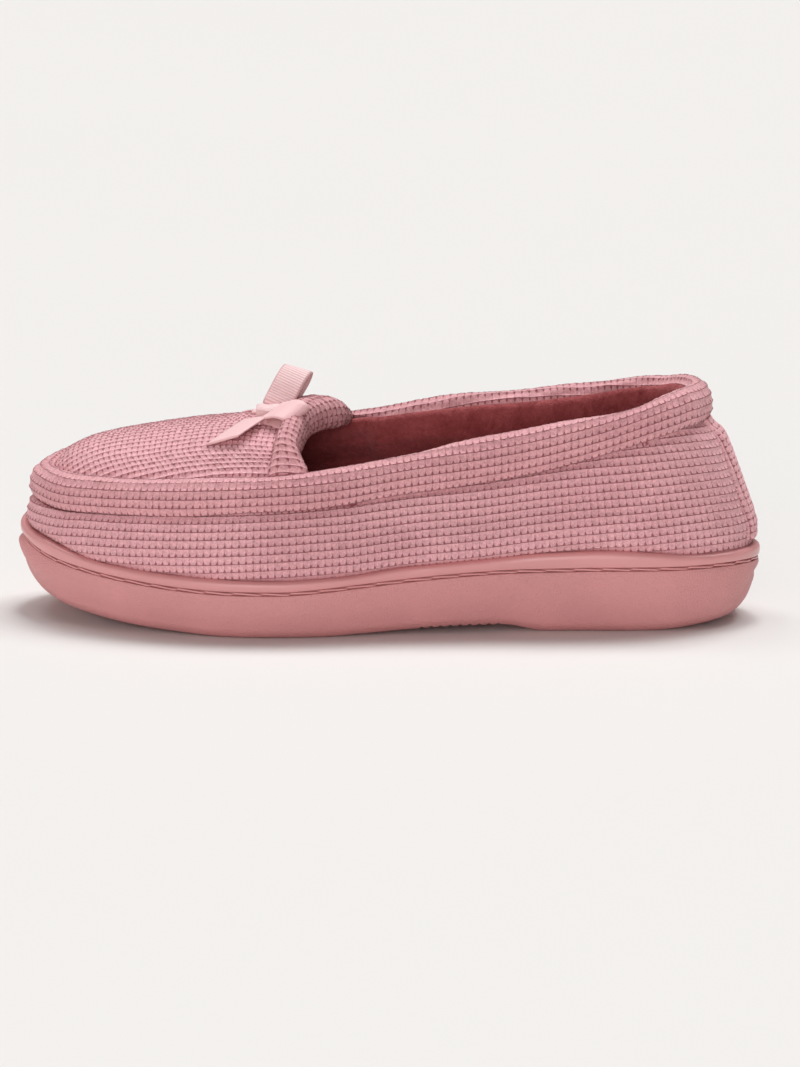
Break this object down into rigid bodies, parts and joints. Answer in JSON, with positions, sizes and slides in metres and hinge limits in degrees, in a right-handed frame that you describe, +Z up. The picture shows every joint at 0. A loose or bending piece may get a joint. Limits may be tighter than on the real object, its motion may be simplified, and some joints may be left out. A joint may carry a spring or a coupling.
{
  "type": "moccasin slipper",
  "caption": "Left moccasin slipper with a ribbed plush upper, padded collar, ribbon bow and moulded rubber sole.",
  "frame": {"origin": "on the ground, at the centre of the shoe's bounding box in plan", "axes": "+X towards the toe, +Y towards the outer (lateral) side, +Z up"},
  "size_m": [0.25, 0.0927, 0.0851],
  "materials": {
    "sole_rubber": "satin moulded rubber with a smooth lip and a fine-grained side",
    "plush_lining": "short matt plush pile",
    "ribbed_plush": "matt ribbed plush with small puffed cells",
    "ribbed_plush_band": "matt ribbed plush with small puffed cells",
    "ribbon": "grosgrain ribbon, cross-ribbed with a soft sheen"
  },
  "bodies": {
    "root": {"sole_unit": "sole_rubber", "insole": "plush_lining", "upper": "ribbed_plush", "padded_band": "ribbed_plush_band", "throat_cuff": "ribbed_plush_band", "heel_strip": "ribbed_plush", "bow_wrap": "ribbon", "bow_loop_upright": "ribbon", "bow_loop_front": "ribbon", "bow_tail_front": "ribbon", "bow_tail_back": "ribbon"}
  },
  "joints": []
}
